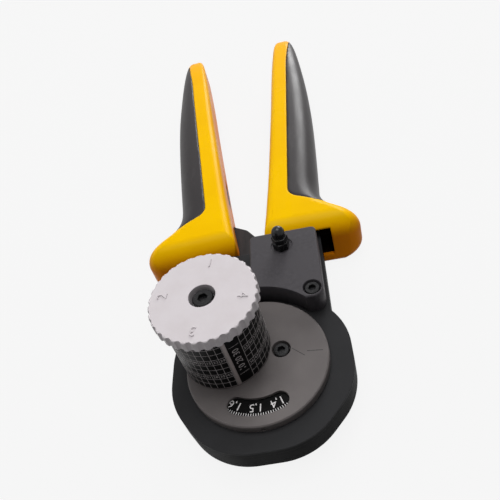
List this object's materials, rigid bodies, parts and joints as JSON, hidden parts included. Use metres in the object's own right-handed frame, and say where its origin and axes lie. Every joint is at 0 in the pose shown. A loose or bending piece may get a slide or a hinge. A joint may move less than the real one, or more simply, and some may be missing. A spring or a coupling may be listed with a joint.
{
  "type": "four-indent hand crimping tool",
  "caption": "Hand crimping tool with a round steel head, a turret locator, a depth scale window and two two-tone sprung handles.",
  "frame": {"origin": "centre of the wire entry bore at the back face of the back cover", "axes": "+Z along the crimp axis from the back cover to the turret; +Y from the head along the handles; +X towards the fixed handle"},
  "size_m": [0.0868, 0.2464, 0.0464],
  "materials": {
    "blackened_steel": "satin",
    "ground_steel": "satin",
    "lever_steel": "satin",
    "tool_steel": "satin",
    "grey_block": "satin",
    "black_screw": "satin",
    "black_nut": "satin",
    "spring_steel": "satin",
    "barrel_alloy": "satin",
    "knob_alloy": "satin",
    "label_film": "satin",
    "yellow_grip": "gloss",
    "grey_inlay": "soft matte"
  },
  "bodies": {
    "frame": {"front_plate": "blackened_steel", "back_plate": "blackened_steel", "head_spacer": "blackened_steel", "back_cover": "blackened_steel", "cover_screws": "black_screw", "plate_screws": "black_screw", "neck_dowels": "tool_steel", "die_guide": "tool_steel", "pivot_sleeve": "tool_steel", "pivot_stud": "black_screw", "lock_nut": "black_nut", "cap_nut": "black_nut", "pawl_pin": "tool_steel", "pivot_block": "grey_block", "block_screw": "black_screw", "front_disc": "ground_steel", "disc_screw": "black_screw", "turret_post": "tool_steel", "turret_washer": "tool_steel", "turret_screw": "black_screw", "turret_spring": "spring_steel", "index_ball": "tool_steel", "index_spring": "spring_steel", "return_spring": "spring_steel", "fixed_grip": "yellow_grip", "fixed_grip_inlay": "grey_inlay"},
    "lever": {"lever_plate": "lever_steel", "moving_grip": "yellow_grip", "moving_grip_inlay": "grey_inlay"},
    "cam": {"cam_ring": "tool_steel"},
    "indenter_a": {"indenter_1": "tool_steel"},
    "indenter_b": {"indenter_2": "tool_steel"},
    "indenter_c": {"indenter_3": "tool_steel"},
    "indenter_d": {"indenter_4": "tool_steel"},
    "depth_scale": {"depth_ring": "tool_steel"},
    "ratchet_pawl": {"pawl": "tool_steel"},
    "turret": {"turret_barrel": "barrel_alloy", "turret_label": "label_film", "turret_knob": "knob_alloy", "knob_pins": "tool_steel"}
  },
  "joints": [
    {"name": "lever_pivot", "type": "hinge", "parent": "frame", "child": "lever", "pos_m": [0.012, 0.0444, 0.00825], "axis": [0, 0, -1], "range_deg": [0, 12], "stiffness_Nm_per_rad": 1.5, "springref_deg": -17.19, "deforming": ["return_spring"]},
    {"name": "cam_turn", "type": "hinge", "parent": "frame", "child": "cam", "pos_m": [0, 0, 0.00825], "axis": [0, 0, 1], "range_deg": [0, 18.4]},
    {"name": "indenter_a_slide", "type": "slide", "parent": "frame", "child": "indenter_a", "axis": [-0.7071, -0.7071, 0], "range_m": [0, 0.00131]},
    {"name": "indenter_b_slide", "type": "slide", "parent": "frame", "child": "indenter_b", "axis": [0.7071, -0.7071, 0], "range_m": [0, 0.00131]},
    {"name": "indenter_c_slide", "type": "slide", "parent": "frame", "child": "indenter_c", "axis": [0.7071, 0.7071, 0], "range_m": [0, 0.00131]},
    {"name": "indenter_d_slide", "type": "slide", "parent": "frame", "child": "indenter_d", "axis": [-0.7071, 0.7071, 0], "range_m": [0, 0.00131]},
    {"name": "depth_scale_turn", "type": "hinge", "parent": "frame", "child": "depth_scale", "pos_m": [0, 0, 0.01355], "axis": [0, 0, 1], "range_deg": [-150, 150]},
    {"name": "pawl_pivot", "type": "hinge", "parent": "frame", "child": "ratchet_pawl", "pos_m": [-0.01029, 0.02433, 0.00825], "axis": [0, 0, 1], "range_deg": [-25, 25], "stiffness_Nm_per_rad": 0.005},
    {"name": "turret_turn", "type": "hinge", "parent": "frame", "child": "turret", "pos_m": [-0.0102, 0.00575, 0.0285], "axis": [0, 0, 1], "continuous": true}
  ],
  "couplings": [
    {"joint": "cam_turn", "follows": "lever_pivot", "ratio": 1.527},
    {"joint": "indenter_a_slide", "follows": "lever_pivot", "m_per_rad": 0.006207},
    {"joint": "indenter_b_slide", "follows": "lever_pivot", "m_per_rad": 0.006207},
    {"joint": "indenter_c_slide", "follows": "lever_pivot", "m_per_rad": 0.006207},
    {"joint": "indenter_d_slide", "follows": "lever_pivot", "m_per_rad": 0.006207}
  ]
}
